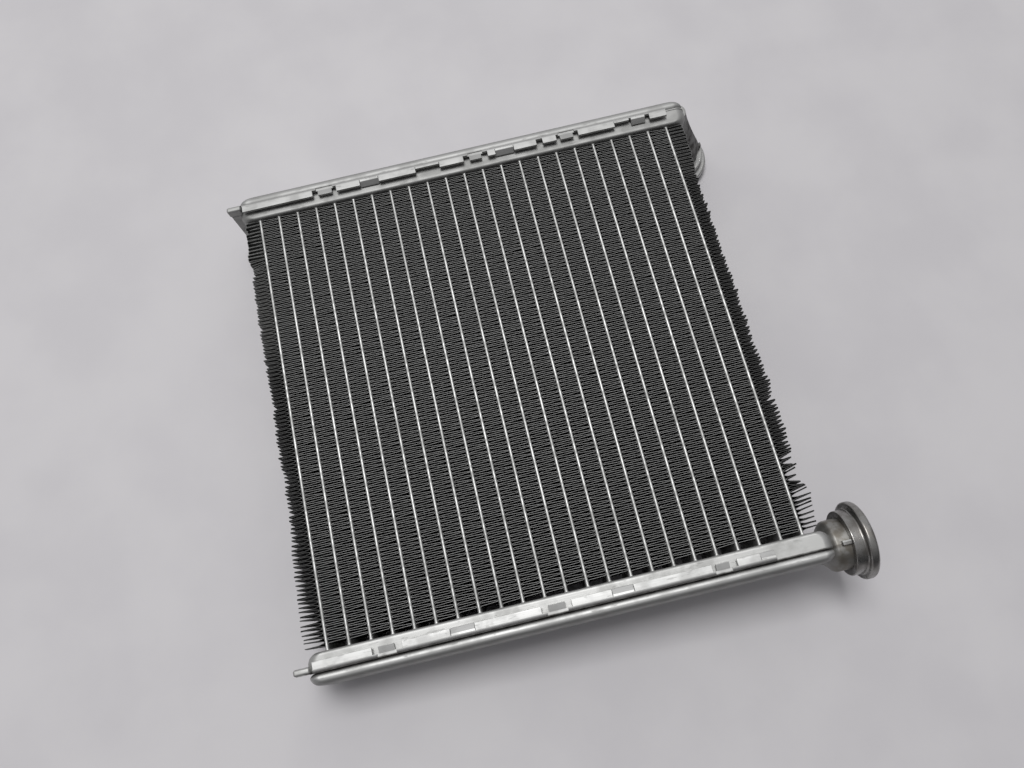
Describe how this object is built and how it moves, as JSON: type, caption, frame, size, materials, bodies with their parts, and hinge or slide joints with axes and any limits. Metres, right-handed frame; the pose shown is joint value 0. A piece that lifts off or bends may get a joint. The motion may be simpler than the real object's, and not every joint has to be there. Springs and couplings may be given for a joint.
{
  "type": "heater core",
  "caption": "Heater core: a row of flat tubes with folded fins between two crimped header tanks, each with a flanged port at its right end, one facing back and one sideways.",
  "frame": {"origin": "centre of the block of tubes and fins", "axes": "+X along the headers towards the ports, +Y along the tubes towards the upper header, +Z out of the front face"},
  "size_m": [0.2141, 0.217, 0.0462],
  "materials": {
    "tubes": "brazed, satin",
    "fins": "brazed, dull",
    "header_plates": "pressed, satin",
    "tanks": "pressed, satin",
    "ports": "turned, satin"
  },
  "bodies": {
    "root": {"tube_01": "tubes", "tube_02": "tubes", "tube_03": "tubes", "tube_04": "tubes", "tube_05": "tubes", "tube_06": "tubes", "tube_07": "tubes", "tube_08": "tubes", "tube_09": "tubes", "tube_10": "tubes", "tube_11": "tubes", "tube_12": "tubes", "tube_13": "tubes", "tube_14": "tubes", "tube_15": "tubes", "tube_16": "tubes", "tube_17": "tubes", "tube_18": "tubes", "tube_19": "tubes", "tube_20": "tubes", "tube_21": "tubes", "tube_22": "tubes", "tube_23": "tubes", "fin_01": "fins", "fin_02": "fins", "fin_03": "fins", "fin_04": "fins", "fin_05": "fins", "fin_06": "fins", "fin_07": "fins", "fin_08": "fins", "fin_09": "fins", "fin_10": "fins", "fin_11": "fins", "fin_12": "fins", "fin_13": "fins", "fin_14": "fins", "fin_15": "fins", "fin_16": "fins", "fin_17": "fins", "fin_18": "fins", "fin_19": "fins", "fin_20": "fins", "fin_21": "fins", "fin_22": "fins", "fin_23": "fins", "fin_24": "fins", "header_plate_upper": "header_plates", "tank_upper": "tanks", "port_upper": "ports", "header_plate_lower": "header_plates", "tank_lower": "tanks", "port_lower": "ports"}
  },
  "joints": []
}
